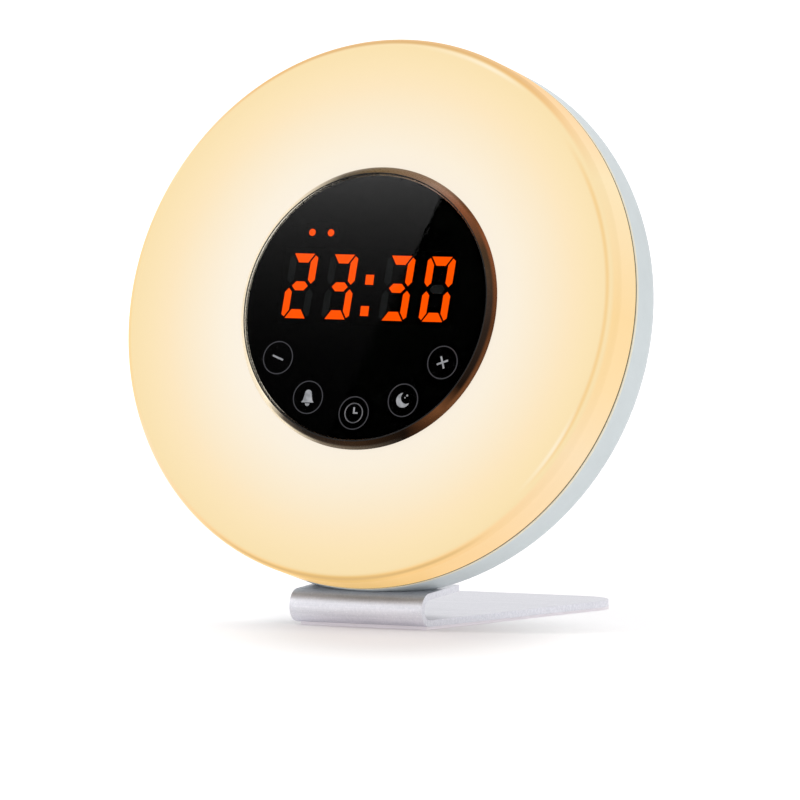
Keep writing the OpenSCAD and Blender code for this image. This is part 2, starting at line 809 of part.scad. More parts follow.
// Plan of the base plate, from the fold back, drawn in by an inset
function plate_plan(inset) =
  let (
    r = back_corner - inset,
    back = plate_length / 2 - inset,
    front_x = plate_half_width(inset) - inset,
    back_x = plate_half_width(plate_length) - inset,
    lean = atan((back_x - front_x) / (plate_length - 2 * inset)),
    right = arc([back_x - r, back - r], r, -lean, 90, 10)
  )
  concat(
    [[-front_x, fold_y + inset], [front_x, fold_y + inset]],
    right,
    [for (i = [len(right) - 1:-1:0]) [-right[i][0], right[i][1]]]
  );

module fold() {
  translate([-fold_width / 2, fold_y, fold_z]) difference() {
    rotate([0, 90, 0]) cylinder(r = fold_radius, h = fold_width);
    translate([-1, 0, 0]) rotate([0, 90, 0]) cylinder(r = fold_radius - sheet, h = fold_width + 2);
    translate([-1, 0, -fold_radius - 1]) cube([fold_width + 2, fold_radius + 1, 2 * fold_radius + 2]);
  }
}

module stand() {
  color([0.78, 0.79, 0.81]) difference() {
    union() {
      translate([0, 0, pad_thickness]) linear_extrude(height = sheet) polygon(plate_plan(0));
      fold();
      at_flange() translate([-fold_width / 2, 0, fold_radius - sheet]) cube([fold_width, flange_length, sheet]);
    }
    at_flange() for (x = seat_screw_x) translate([x, seat_screw_y, 0]) disc(1.5, 0, fold_radius + 1);
  }
}

module stand_screws() {
  color([0.7, 0.7, 0.72]) at_flange() for (x = seat_screw_x) translate([x, seat_screw_y, 0]) {
    disc(1.45, fold_radius - sheet + 0.2, fold_radius + seat_wall + eps);
    disc(seat_screw_head_r, fold_radius + seat_wall, fold_radius + seat_wall + 1.8);
  }
}

module desk_pad() {
  color([0.62, 0.61, 0.63]) linear_extrude(height = pad_thickness) polygon(plate_plan(pad_inset));
}

front_diffuser();
rear_housing();
reflector_chassis();
led_ring_board();
warm_leds();
colour_leds();
led_header();
bezel_ring();
front_glass();
mask_film();
legend_print();
display_module();
lit_segments();
dark_segments();
display_board();
display_screws();
touch_pillars();
touch_chip();
retainer_ring();
display_ribbon();
ribbon_sockets();
main_board();
board_screws();
main_chips();
tuner_can();
capacitors();
tact_switches();
light_key();
colour_key();
music_key();
radio_key();
light_plunger();
colour_plunger();
music_plunger();
radio_plunger();
speaker_frame();
speaker_magnet();
speaker_surround();
speaker_cone();
speaker_clamps();
power_jack();
antenna_bush();
coin_cell();
cell_contact();
battery_cap();
housing_screws();
stand();
stand_screws();
desk_pad();
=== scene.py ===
import json
import math

import bmesh
import bpy
from mathutils import Matrix, Vector

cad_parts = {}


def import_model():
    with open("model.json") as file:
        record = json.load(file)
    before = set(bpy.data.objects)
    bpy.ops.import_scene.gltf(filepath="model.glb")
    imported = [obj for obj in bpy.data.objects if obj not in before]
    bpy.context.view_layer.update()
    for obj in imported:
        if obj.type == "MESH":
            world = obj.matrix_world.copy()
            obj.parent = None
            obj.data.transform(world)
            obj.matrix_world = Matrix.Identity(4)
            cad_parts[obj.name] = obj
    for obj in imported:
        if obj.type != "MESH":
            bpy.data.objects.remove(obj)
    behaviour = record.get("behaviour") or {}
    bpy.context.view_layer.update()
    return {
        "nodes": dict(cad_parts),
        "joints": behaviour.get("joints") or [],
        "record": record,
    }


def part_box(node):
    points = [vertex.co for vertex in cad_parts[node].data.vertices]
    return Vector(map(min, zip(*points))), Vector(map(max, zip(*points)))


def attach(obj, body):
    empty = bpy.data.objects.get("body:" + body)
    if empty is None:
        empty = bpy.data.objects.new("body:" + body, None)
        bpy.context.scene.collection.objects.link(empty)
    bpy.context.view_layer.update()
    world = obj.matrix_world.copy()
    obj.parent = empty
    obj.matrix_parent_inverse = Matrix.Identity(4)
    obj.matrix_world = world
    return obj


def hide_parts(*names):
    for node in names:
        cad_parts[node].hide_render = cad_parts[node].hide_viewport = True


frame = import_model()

NODES = frame["nodes"]
MM = 0.001

# ---- The head's own frame: x across, y up along the disc, z out of the display, 0 at the seam ----

CAP_JOINT = next(j for j in frame["joints"] if j["name"] == "battery_cap_turn")
OUT = Vector(CAP_JOINT["axis"]).normalized()
ACROSS = Vector((1, 0, 0))
UP = OUT.cross(ACROSS)
CAP_CIRCLE = 41.9 * MM
CAP_ANGLE = math.radians(235)
CAP_DEPTH = 23 * MM
HEAD = (Vector(CAP_JOINT["pos_m"]) + CAP_DEPTH * OUT
        - CAP_CIRCLE * (math.cos(CAP_ANGLE) * ACROSS + math.sin(CAP_ANGLE) * UP))
HEAD_LEAN = math.atan2(UP.z, UP.y)
TO_WORLD = Matrix.Translation(HEAD) @ Matrix((ACROSS, UP, OUT)).transposed().to_4x4()
TO_HEAD = TO_WORLD.inverted()


def span(node):
    """Lowest and highest corner of a CAD node in the head's own frame."""
    points = [TO_HEAD @ vertex.co for vertex in NODES[node].data.vertices]
    return [Vector([pick(axis) for axis in zip(*points)]) for pick in (min, max)]


HEAD_R = span("front_diffuser")[1].x
FACE_Z = span("front_diffuser")[1].z
BACK_Z = span("rear_housing")[0].z
PANEL_R = span("bezel_ring")[1].x
GLASS_R = span("front_glass")[1].x - 0.2 * MM        # up to the ring's thin edge, which the glass sits against
GLASS_BACK, GLASS_FRONT = (corner.z for corner in span("front_glass"))
TOUCH_CIRCLE = 33 * MM
TOUCH_ANGLES = [-150, -120, -90, -60, -30]
DIAL_R = 2.95 * MM               # the circle of the clock sign

# ---- Meshes ----

ON_AXIS = 1e-9               # a radius under this lies on the axis
MERGE_WITHIN = 1e-6

def add_object(name, mesh):
    made = bpy.data.objects.new(name, mesh)
    bpy.context.scene.collection.objects.link(made)
    return made


def from_bmesh(name, shape, sharp_angle=35):
    """An object of that bmesh, smooth but for edges sharper than the angle."""
    mesh = bpy.data.meshes.new(name)
    shape.to_mesh(mesh)
    shape.free()
    mesh.polygons.foreach_set("use_smooth", [True] * len(mesh.polygons))
    mesh.set_sharp_from_angle(angle=math.radians(sharp_angle))
    return add_object(name, mesh)


def arc(centre, radius, start, end, steps):
    angles = [math.radians(start + (end - start) * i / steps) for i in range(steps + 1)]
    return [(centre[0] + radius * math.cos(a), centre[1] + radius * math.sin(a)) for a in angles]


def held_flat(outline, margin=0.03 * MM, least=0.5 * MM):
    """The closed outline with a point close to each end of its long sides, so that smooth shading keeps them flat."""
    held = []
    for start, end in zip(outline, outline[1:] + outline[:1]):
        held.append(start)
        length = math.dist(start, end)
        if length > least:
            for part in (margin / length, 1 - margin / length):
                held.append(tuple(a + (b - a) * part for a, b in zip(start, end)))
    return held


def lathe(name, outline, steps=256, sharp_angle=35):
    """A closed outline of (radius, z) points turned about the head's axis. A point on the axis stays one point."""
    shape = bmesh.new()
    rings = []
    for radius, z in held_flat(outline):
        turn = [2 * math.pi * i / steps for i in range(steps)] if radius > ON_AXIS else [0]
        points = [Vector((radius * math.cos(a), radius * math.sin(a), z)) for a in turn]
        rings.append([shape.verts.new(TO_WORLD @ point) for point in points])
    for this, following in zip(rings, rings[1:] + rings[:1]):
        for i in range(steps):
            j = (i + 1) % steps
            corners = [this[i % len(this)], this[j % len(this)],
                       following[j % len(following)], following[i % len(following)]]
            corners = list(dict.fromkeys(corners))
            if len(corners) > 2:
                shape.faces.new(corners)
    bmesh.ops.recalc_face_normals(shape, faces=shape.faces)
    return from_bmesh(name, shape, sharp_angle)


def merged_copy(node, name):
    """A copy of a CAD node's mesh with its loose triangles joined."""
    shape = bmesh.new()
    shape.from_mesh(NODES[node].data)
    bmesh.ops.remove_doubles(shape, verts=shape.verts, dist=MERGE_WITHIN)
    bmesh.ops.dissolve_limit(shape, angle_limit=math.radians(0.2), verts=shape.verts, edges=shape.edges,
                             delimit={"SHARP"})
    return from_bmesh(name, shape)


def apply_modifiers(piece):
    """Turns the piece's modifiers into its mesh."""
    result = bpy.data.meshes.new_from_object(piece.evaluated_get(bpy.context.evaluated_depsgraph_get()))
    piece.modifiers.clear()
    piece.data = result


def place(piece, body, slot, material, *replaced):
    """Gives the piece its material, hangs it on its body and hides the CAD nodes it stands in for."""
    piece.data.materials.clear()
    piece.data.materials.append(material)
    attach(piece, body)
    if replaced:
        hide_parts(*replaced)
    return piece


# ---- Nodes ----


def colour(red, green, blue):
    """Linear colour of three screen values from 0 to 255."""
    parts = [value / 255 for value in (red, green, blue)]
    return (*(v / 12.92 if v <= 0.04045 else ((v + 0.055) / 1.055) ** 2.4 for v in parts), 1)


def add(tree, kind, inputs=None, **settings):
    """A node with its settings, and its inputs set to values or linked to sockets."""
    made = tree.nodes.new(kind)
    for key, value in settings.items():
        setattr(made, key, value)
    for socket, value in (inputs or {}).items():
        if isinstance(value, bpy.types.NodeSocket):
            tree.links.new(value, made.inputs[socket])
        else:
            made.inputs[socket].default_value = value
    return made


def math_node(tree, operation, first, second=0.0, clamp=False):
    return add(tree, "ShaderNodeMath", {0: first, 1: second}, operation=operation, use_clamp=clamp).outputs[0]


def remap(tree, value, low, high, to_low=0.0, to_high=1.0, smooth=True):
    """value from low..high to to_low..to_high, held at its ends."""
    return add(tree, "ShaderNodeMapRange", {"Value": value, "From Min": low, "From Max": high, "To Min": to_low,
               "To Max": to_high}, interpolation_type="SMOOTHSTEP" if smooth else "LINEAR").outputs[0]


def mix(tree, factor, first, second, blend="MIX"):
    made = add(tree, "ShaderNodeMix", data_type="RGBA", blend_type=blend)
    for socket, value in zip((0, 6, 7), (factor, first, second)):
        if isinstance(value, bpy.types.NodeSocket):
            tree.links.new(value, made.inputs[socket])
        else:
            made.inputs[socket].default_value = value
    return made.outputs[2]


def object_coordinates(tree):
    return add(tree, "ShaderNodeTexCoord").outputs["Object"]


def head_coordinates(tree):
    """Coordinates in the head's own frame."""
    return add(tree, "ShaderNodeMapping", {"Vector": object_coordinates(tree), "Location": HEAD,
               "Rotation": (HEAD_LEAN, 0, 0)}, vector_type="TEXTURE").outputs[0]


def noise(tree, vector, scale, detail=2.0, roughness=0.5):
    return add(tree, "ShaderNodeTexNoise", {"Vector": vector, "Scale": scale, "Detail": detail,
               "Roughness": roughness}).outputs["Fac"]


def stretched(tree, vector, scale):
    return add(tree, "ShaderNodeMapping", {"Vector": vector, "Scale": scale}).outputs[0]


def radius_of(tree, vector):
    flat = add(tree, "ShaderNodeVectorMath", {0: vector, 1: (1, 1, 0)}, operation="MULTIPLY").outputs[0]
    return add(tree, "ShaderNodeVectorMath", {0: flat}, operation="LENGTH").outputs["Value"]


def band(tree, value, centre, half_width):
    """1 where the value is at the centre, falling to 0 at the half width."""
    away = math_node(tree, "ABSOLUTE", math_node(tree, "SUBTRACT", value, centre))
    return remap(tree, away, half_width, 0)


def grey(tree, value):
    return add(tree, "ShaderNodeCombineColor", {0: value, 1: value, 2: value}).outputs[0]


def product(tree, first, *others):
    for other in others:
        first = math_node(tree, "MULTIPLY", first, other)
    return first


def ramp(tree, value, stops):
    """A colour ramp with one (position, colour) pair for each stop."""
    made = add(tree, "ShaderNodeValToRGB", {"Fac": value})
    elements = made.color_ramp.elements
    elements[0].position, elements[0].color = stops[0]
    elements[1].position, elements[1].color = stops[-1]
    for position, stop_colour in stops[1:-1]:
        elements.new(position).color = stop_colour
    return made.outputs["Color"]


def bump(tree, height, distance, strength=1.0):
    return add(tree, "ShaderNodeBump", {"Height": height, "Distance": distance, "Strength": strength}).outputs[0]


def new_material(name, **sockets):
    """A material with a Principled shader whose constant sockets are given with spaces as underscores."""
    made = bpy.data.materials.new(name)
    made.use_nodes = True
    shader = made.node_tree.nodes["Principled BSDF"]
    for socket, value in sockets.items():
        shader.inputs[socket.replace("_", " ")].default_value = value
    return made, made.node_tree, shader


def wire(tree, shader, **sockets):
    for socket, value in sockets.items():
        tree.links.new(value, shader.inputs[socket.replace("_", " ")])


# ---- Materials ----

# Light through the cover: across its face by radius, and down its side by how far up or down the disc
FACE_GLOW = [
    (44, (251, 241, 225)), (50, (251, 240, 220)), (58, (251, 236, 209)), (64, (251, 233, 200)),
    (70, (252, 230, 190)), (76, (251, 228, 182)), (82, (249, 225, 175)),
]
SIDE_GLOW = [
    (-1, (239, 196, 119)), (-0.97, (255, 210, 138)), (-0.87, (254, 213, 151)), (-0.7, (253, 219, 168)),
    (-0.5, (253, 225, 181)), (-0.26, (254, 221, 165)), (0, (253, 218, 157)), (0.26, (252, 223, 171)),
    (0.5, (250, 226, 177)), (0.7, (247, 209, 154)), (0.87, (238, 186, 112)), (1, (220, 174, 110)),
]
GLOW_SHARE = 0.78       # share of the cover's colour that is its own light
SKIN_SHARE = 0.2        # share that is light from the room
# Painted grey light that the foot and the table see from the cover's low side
PAINTED_LOW_SIDE_GREYS = (0.2, 0.8)     # its light towards the foot, at the seam and in front


def glowing_cover():
    """Milky polycarbonate, lit from inside by the ring of LEDs behind the panel's edge."""
    made, tree, shader = new_material("glowing_cover", IOR=1.5, Specular_IOR_Level=0.15)
    place_on_head = head_coordinates(tree)
    radius = radius_of(tree, place_on_head)
    parts = add(tree, "ShaderNodeSeparateXYZ", {0: place_on_head}).outputs
    rightward = math_node(tree, "DIVIDE", parts["X"], radius)
    upward = math_node(tree, "DIVIDE", parts["Y"], radius)
    around = math_node(tree, "ADD", radius, math_node(tree, "SUBTRACT", FACE_Z, parts["Z"]))
    inner, outer = FACE_GLOW[0][0], FACE_GLOW[-1][0]
    along = math_node(tree, "DIVIDE", math_node(tree, "SUBTRACT", radius, inner * MM), (outer - inner) * MM)
    face = ramp(tree, along, [((r - inner) / (outer - inner), colour(*rgb)) for r, rgb in FACE_GLOW])
    side = ramp(tree, remap(tree, upward, -1, 1, smooth=False),
                [((where + 1) / 2, colour(*rgb)) for where, rgb in SIDE_GLOW])
    tone = mix(tree, remap(tree, around, 82.6 * MM, 84.4 * MM), face, side)
    # The rounded edge: an amber line round it, partly its own glow through the thicker wall and partly painted shade,
    # and painted highlights beside it in places
    right, high, low, left = (remap(tree, *limits) for limits in (
        (rightward, 0.72, 0.92), (upward, 0.7, 0.88), (upward, -0.78, -0.95), (rightward, -0.85, -0.98)))
    for part_of_edge, strength, centre, half_width, line in (
            (right, 0.9, 81.4, 1.2, (244, 206, 142)), (high, 0.8, 86, 3.2, (230, 188, 132)),
            (low, 0.9, 84.9, 1.4, (224, 184, 120)), (left, 0.8, 84.6, 2, (250, 214, 148))):
        on_edge_glow_shade_line = product(tree, part_of_edge, band(tree, around, centre * MM, half_width * MM), strength)
        tone = mix(tree, on_edge_glow_shade_line, tone, colour(*line))
    # Painted highlights: pale bands on the rounded edge near the top and low on the right
    painted_highlight_top = product(tree, band(tree, upward, 0.92, 0.1), remap(tree, rightward, 0, 0.2),
                       band(tree, around, 82.4 * MM, 1.1 * MM))
    painted_highlight_low = product(tree, band(tree, upward, -0.52, 0.2), remap(tree, rightward, 0.4, 0.7),
                       band(tree, around, 80.6 * MM, 1.1 * MM))
    tone = mix(tree, math_node(tree, "ADD", painted_highlight_top, painted_highlight_low, True), tone, colour(254, 238, 206))
    cloud = noise(tree, place_on_head, 25, 1)
    tone = mix(tree, remap(tree, cloud, 0.2, 0.8, 0, 0.05), tone, colour(252, 224, 176))
    own_light = mix(tree, 1.0, tone, (GLOW_SHARE,) * 3 + (1,), "MULTIPLY")
    skin = mix(tree, 1.0, tone, (SKIN_SHARE,) * 3 + (1,), "MULTIPLY")
    # The foot and the table see its low side as a painted grey light in place of its amber glow, which paints the
    # foot's reflection of it and the light it casts down
    path = add(tree, "ShaderNodeLightPath").outputs
    low_side = product(tree, math_node(tree, "MAXIMUM", path["Is Glossy Ray"], path["Is Diffuse Ray"]),
                       remap(tree, upward, -0.55, -0.75), remap(tree, around, 80 * MM, 85 * MM))
    painted_grey_light = grey(tree, remap(tree, parts["Z"], 4 * MM, 12 * MM, *PAINTED_LOW_SIDE_GREYS))
    own_light = mix(tree, low_side, own_light, painted_grey_light)
    grain = noise(tree, place_on_head, 2600, 2)
    wire(tree, shader, Base_Color=skin, Emission_Color=own_light,
         Roughness=remap(tree, cloud, 0.3, 0.7, 0.38, 0.46), Normal=bump(tree, grain, 0.004 * MM))
    shader.inputs["Emission Strength"].default_value = 1
    return made


def moulded(name, tone, roughness=0.45, grain=0.01, pitch=1.2, mottle=0.08, gloss=0.5):
    """Moulded plastic: spark-eroded grain, faint mottling and a scuffed sheen. grain and pitch are in mm."""
    made, tree, shader = new_material(name, IOR=1.48, Specular_IOR_Level=gloss)
    where = object_coordinates(tree)
    base = colour(*tone)
    dark = tuple(value * (1 - 2 * mottle) for value in base[:3]) + (1,)
    cloud = noise(tree, where, 90, 4)
    fine = noise(tree, where, 1000 / pitch, 3)
    scuffs = noise(tree, stretched(tree, where, (1, 6, 1)), 160, 5, 0.7)
    tint = mix(tree, remap(tree, cloud, 0.35, 0.7, 0, 0.5), base, dark)
    wire(tree, shader, Base_Color=tint, Normal=bump(tree, fine, grain * MM),
         Roughness=remap(tree, scuffs, 0.3, 0.75, roughness - 0.06, roughness + 0.08))
    return made


def silicone():
    """Pale silicone, with a painted glow standing in for the table's light getting into it."""
    made = moulded("pale_silicone", (214, 210, 213), 0.6, 0.02, 0.5, 0.05)
    shader = made.node_tree.nodes["Principled BSDF"]
    # Painted light: a faint glow, so that the pad's edge under the plate doesn't go dark
    shader.inputs["Emission Color"].default_value = colour(206, 198, 202)
    shader.inputs["Emission Strength"].default_value = 0.4
    return made


def shell():
    """The pale rear shell, with a painted cream glow along its rim where the cover's light falls on its lip."""
    made = moulded("pale_shell", (212, 220, 222), 0.42, 0.012, 0.9, 0.03)
    tree = made.node_tree
    shader = tree.nodes["Principled BSDF"]
    depth = add(tree, "ShaderNodeSeparateXYZ", {0: head_coordinates(tree)}).outputs["Z"]
    # Painted light: a cream band along the rim, where the cover's glow falls on the shell's lip
    glow_painted_rim = product(tree, band(tree, depth, -0.9 * MM, 1.1 * MM), 0.8)
    plain = shader.inputs["Base Color"].links[0].from_socket
    wire(tree, shader, Base_Color=mix(tree, glow_painted_rim, plain, colour(250, 236, 202)))
    return made


def plated(name, tone, roughness=0.3, scratch=0.004, metallic=1.0):
    """Bright metal with fine scratches and dull patches."""
    made, tree, shader = new_material(name, Metallic=metallic)
    where = object_coordinates(tree)
    patches = noise(tree, where, 220, 3)
    lines = noise(tree, stretched(tree, where, (1, 14, 1)), 900, 3, 0.6)
    base = colour(*tone)
    dull = tuple(value * 0.72 for value in base[:3]) + (1,)
    wire(tree, shader, Base_Color=mix(tree, remap(tree, patches, 0.4, 0.75, 0, 0.6), base, dull),
         Roughness=remap(tree, lines, 0.3, 0.7, roughness - 0.06, roughness + 0.1),
         Normal=bump(tree, lines, scratch * MM))
    return made


def anodised_sheet():
    """Satin anodised aluminium: blasted to a fine sparkle, with faint rolling lines across the fold."""
    made, tree, shader = new_material("anodised_sheet", Metallic=1.0)
    where = object_coordinates(tree)
    sparkle = noise(tree, where, 2400, 2, 0.8)
    blotches = noise(tree, where, 1200, 2, 0.7)
    rolling = noise(tree, stretched(tree, where, (1, 30, 30)), 40, 3, 0.6)
    tone = mix(tree, remap(tree, rolling, 0.3, 0.7), colour(208, 208, 214), colour(220, 219, 225))
    tone = mix(tree, remap(tree, blotches, 0.42, 0.66, 0, 0.3), tone, colour(194, 194, 202))
    tone = mix(tree, remap(tree, sparkle, 0.54, 0.68, 0, 0.5), tone, colour(250, 250, 252))
    wire(tree, shader, Base_Color=tone, Roughness=remap(tree, sparkle, 0.3, 0.7, 0.42, 0.54),
         Normal=bump(tree, sparkle, 0.014 * MM))
    return made


# The ring's painted reflections and shade: five tones, and where round it each is met, in degrees, on its outer edge
# and its inner half
CREAM_REFLECTION, PAINTED_DARK = (252, 244, 226), (22, 14, 8)
COPPER, ROSE, OLIVE = (100, 62, 36), (140, 114, 98), (102, 82, 50)
BRONZE_OUTER_PAINTED_LIGHT = [
    (-180, CREAM_REFLECTION), (-122, CREAM_REFLECTION), (-104, (120, 110, 98)), (-66, PAINTED_DARK), (-42, COPPER), (-6, (82, 48, 26)),
    (30, (132, 78, 48)), (48, COPPER), (62, ROSE), (92, OLIVE), (110, (118, 106, 88)), (130, CREAM_REFLECTION), (180, CREAM_REFLECTION),
]
BRONZE_INNER_PAINTED_LIGHT = [
    (-180, CREAM_REFLECTION), (-136, CREAM_REFLECTION), (-124, (70, 62, 54)), (-112, PAINTED_DARK), (-88, (48, 32, 18)), (-64, PAINTED_DARK),
    (-47, COPPER), (-34, PAINTED_DARK), (4, (44, 34, 28)), (26, (70, 52, 36)), (46, (134, 80, 52)), (64, ROSE),
    (92, OLIVE), (108, (66, 56, 42)), (134, CREAM_REFLECTION), (180, CREAM_REFLECTION),
]


def bronze_rim():
    """Vacuum-metallised bronze, with painted reflections and shade round it: pale cream where it mirrors the cover on
    one side, painted dark shade on the other.
    """
    made, tree, shader = new_material("bronze_rim", Metallic=0.95, Specular_IOR_Level=0.2)
    where = head_coordinates(tree)
    parts = add(tree, "ShaderNodeSeparateXYZ", {0: where}).outputs
    angle = math_node(tree, "ARCTAN2", parts["Y"], parts["X"])
    turn = remap(tree, angle, -math.pi, math.pi, smooth=False)
    outer, inner = (ramp(tree, turn, [((degrees + 180) / 360, colour(*rgb)) for degrees, rgb in stops])
                    for stops in (BRONZE_OUTER_PAINTED_LIGHT, BRONZE_INNER_PAINTED_LIGHT))
    radius = radius_of(tree, where)
    tone = mix(tree, remap(tree, radius, PANEL_R - 0.15 * MM, PANEL_R - 0.85 * MM), outer, inner)
    # Painted highlight: a thin bronze line on the lip at the glass, round the right-hand side
    painted_lip_highlight = product(tree, band(tree, radius, GLASS_R - 0.05 * MM, 0.2 * MM),
                         band(tree, angle, math.radians(-20), 1.1))
    tone = mix(tree, painted_lip_highlight, tone, colour(112, 74, 46))
    cloud = noise(tree, where, 120, 3)
    fine = noise(tree, where, 1500, 2)
    worn = mix(tree, 1.0, tone, (0.86, 0.84, 0.8, 1), "MULTIPLY")
    tone = mix(tree, remap(tree, cloud, 0.35, 0.7, 0, 0.6), tone, worn)
    wire(tree, shader, Base_Color=tone, Roughness=remap(tree, fine, 0.3, 0.7, 0.24, 0.34),
         Normal=bump(tree, fine, 0.002 * MM))
    return made


def dark_glass():
    """Smoked glass over the display, coated against glare, with a faint bloom of fingerprints."""
    made, tree, shader = new_material("dark_glass", IOR=1.26, Transmission_Weight=1.0,
                                      Base_Color=(0.85, 0.85, 0.85, 1))
    where = head_coordinates(tree)
    smear = noise(tree, stretched(tree, where, (1, 2.5, 1)), 60, 4, 0.6)
    wire(tree, shader, Roughness=remap(tree, smear, 0.5, 0.8, 0.0, 0.01))
    return made


def lamp(name, tone, strength, spread=0.12):
    """A lit plastic face, a little brighter at some places than others."""
    made, tree, shader = new_material(name, Roughness=0.5, Specular_IOR_Level=0)
    where = object_coordinates(tree)
    cloud = noise(tree, where, 400, 2)
    base = colour(*tone)
    dim = tuple(value * (1 - 3 * spread) for value in base[:3]) + (1,)
    tint = mix(tree, remap(tree, cloud, 0.3, 0.75, 0, 0.5), base, dim)
    wire(tree, shader, Emission_Color=tint, Base_Color=mix(tree, 0.9, tint, (0, 0, 0, 1)),
         Roughness=remap(tree, cloud, 0.3, 0.7, 0.4, 0.6), Normal=bump(tree, cloud, 0.002 * MM))
    shader.inputs["Emission Strength"].default_value = strength
    return made


def legend_print():
    """Grey legends, with a painted glow in place of the room light that the glass keeps from them: the signs well, the
    clock's dial and the rings faintly.
    """
    made, tree, shader = new_material("glowing_legends", Roughness=0.5, Specular_IOR_Level=0)
    where = head_coordinates(tree)
    nearest = None
    for angle in TOUCH_ANGLES:
        a = math.radians(angle)
        centre = (TOUCH_CIRCLE * math.cos(a), TOUCH_CIRCLE * math.sin(a), GLASS_BACK)
        distance = add(tree, "ShaderNodeVectorMath", {0: where, 1: centre}, operation="DISTANCE").outputs["Value"]
        nearest = distance if nearest is None else math_node(tree, "MINIMUM", nearest, distance)
    on_ring = remap(tree, nearest, 4.4 * MM, 4.8 * MM)
    uneven = noise(tree, where, 500, 3)
    sideways = add(tree, "ShaderNodeSeparateXYZ", {0: where}).outputs["X"]
    on_dial = product(tree, band(tree, nearest, DIAL_R, 0.5 * MM), band(tree, sideways, 0, 8 * MM))
    tone = mix(tree, on_dial, colour(172, 174, 178), colour(78, 78, 82))
    tone = mix(tree, on_ring, tone, colour(70, 70, 74))
    tone = mix(tree, remap(tree, uneven, 0.35, 0.7, 0, 0.4), tone, colour(60, 60, 64))
    # Painted light: the print glows in place of the room light that the glass keeps from it
    wire(tree, shader, Emission_Color=tone, Base_Color=mix(tree, 0.9, tone, (0, 0, 0, 1)),
         Normal=bump(tree, uneven, 0.002 * MM))
    shader.inputs["Emission Strength"].default_value = 1
    return made


def circuit_board(name, tone):
    """Solder resist over copper, with the glass weave just showing."""
    made, tree, shader = new_material(name, IOR=1.5, Roughness=0.35)
    where = object_coordinates(tree)
    weave = add(tree, "ShaderNodeTexChecker", {"Vector": where, "Scale": 1600}).outputs["Fac"]
    tracks = add(tree, "ShaderNodeTexVoronoi", {"Vector": where, "Scale": 380}, distance="MANHATTAN",
                 feature="DISTANCE_TO_EDGE").outputs["Distance"]
    base = colour(*tone)
    over_copper = tuple(min(1, value * 1.5) for value in base[:3]) + (1,)
    tint = mix(tree, remap(tree, tracks, 0.1, 0.12), over_copper, base)
    wire(tree, shader, Base_Color=tint, Roughness=remap(tree, weave, 0, 1, 0.32, 0.4),
         Normal=bump(tree, tracks, 0.01 * MM))
    return made


# ---- Finishes of the CAD nodes, by the record's slots ----


def slot_materials():
    return {
        "diffuser": glowing_cover(),
        "housing": shell(),
        "keys": moulded("pale_keys", (224, 227, 230), 0.38, 0.006, 0.7, 0.02),
        "reflector": moulded("white_reflector", (246, 246, 244), 0.5, 0.01, 1.0, 0.02),
        "led_board": circuit_board("white_board", (238, 238, 232)),
        "warm_led": lamp("warm_phosphor", (255, 240, 190), 1.5),
        "colour_led": moulded("clear_resin", (240, 240, 236), 0.2, 0.002, 0.8, 0.02),
        "bezel": bronze_rim(),
        "glass": dark_glass(),
        "mask": moulded("black_print", (3, 3, 3), 0.5, 0.002, 0.6, 0.1, gloss=0),
        "print": legend_print(),
        "lit": lamp("lit_segment", (255, 80, 0), 1.3, 0.03),
        "dark": moulded("unlit_segment", (28, 30, 30), 0.5, 0.002, 0.6, 0.05, gloss=0),
        "board": circuit_board("green_board", (22, 92, 52)),
        "screw": plated("zinc_screw", (196, 197, 200), 0.32),
        # Painted shade: the olive ring that darkens the seam between cover and shell
        "seam": moulded("olive_seam_shade", (100, 86, 52), 0.7, 0.004, 0.5, 0.1, gloss=0.2),
        "gasket": moulded("black_seal", (10, 9, 8), 0.6, 0.004, 0.5, 0.1, gloss=0.2),
        "foam": moulded("grey_foam", (62, 62, 64), 0.9, 0.06, 0.5, 0.15),
        "chip": moulded("black_epoxy", (26, 26, 28), 0.55, 0.006, 0.4, 0.1),
        "ribbon": moulded("ribbon_film", (218, 218, 206), 0.3, 0.01, 1.5, 0.05),
        "socket": moulded("ivory_socket", (234, 228, 204), 0.45, 0.006, 0.8, 0.04),
        "can": plated("tinned_can", (206, 207, 210), 0.25),
        "capacitor": moulded("blue_sleeve", (48, 56, 112), 0.3, 0.004, 1.0, 0.06),
        "switch": moulded("black_switch", (34, 34, 36), 0.5, 0.006, 0.6, 0.08),
        "speaker": plated("black_steel", (36, 36, 38), 0.45, 0.004, 0.6),
        "magnet": plated("sintered_magnet", (74, 74, 78), 0.6, 0.012, 0.5),
        "cone": moulded("paper_cone", (66, 64, 62), 0.85, 0.05, 0.5, 0.15),
        "surround": moulded("soft_rubber", (22, 22, 22), 0.6, 0.006, 0.6, 0.08),
        "contact": plated("spring_brass", (214, 190, 120), 0.28),
        "signs": moulded("grey_signs", (128, 136, 140), 0.5, 0.004, 0.5, 0.05),
        "foot": anodised_sheet(),
        "pad": silicone(),
    }


def dress_nodes(materials):
    """Gives each CAD node the material of its slot in the record."""
    for subpart in frame["record"]["subparts"]:
        for holder in NODES[subpart["node"]].material_slots:
            holder.material = materials[subpart["material_slot"]]


# ---- Pieces ----


